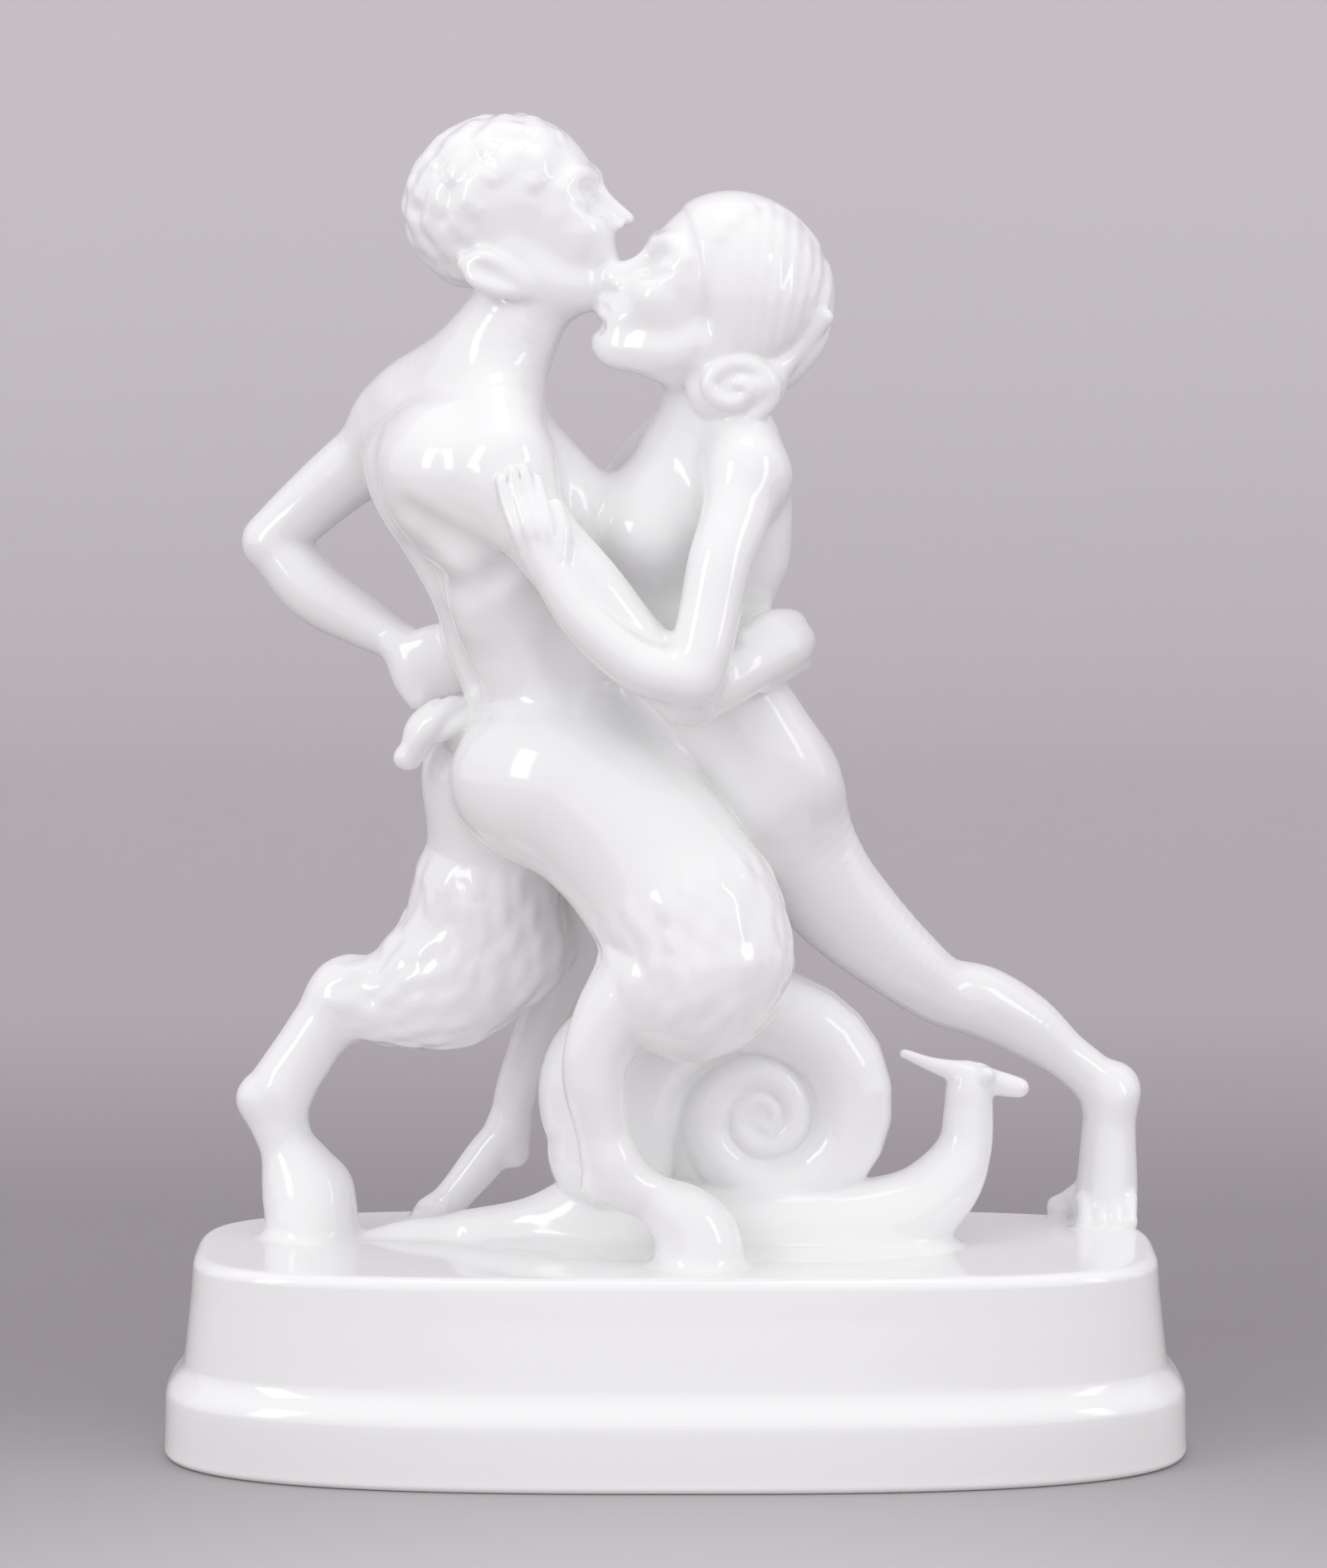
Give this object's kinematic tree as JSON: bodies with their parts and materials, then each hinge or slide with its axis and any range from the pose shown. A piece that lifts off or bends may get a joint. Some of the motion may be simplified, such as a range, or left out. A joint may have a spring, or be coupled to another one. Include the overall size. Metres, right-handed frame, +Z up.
{
  "type": "faun and nymph figurine",
  "caption": "Glazed white porcelain figurine of a goat-legged faun holding a leaning nymph over a large snail, cast in one piece on a hollow oval plinth.",
  "frame": {"origin": "middle of the foot of the oval plinth, at the level of the surface it stands on", "axes": "+Z up, +X along the plinth towards the snail's head and the nymph's stretched leg, +Y away from the side that faces the viewer"},
  "size_m": [0.23, 0.099, 0.3006],
  "materials": {
    "white_porcelain": "glazed white porcelain, high gloss, slightly cool in the crevices"
  },
  "bodies": {
    "root": {"figurine": "white_porcelain"}
  },
  "joints": []
}
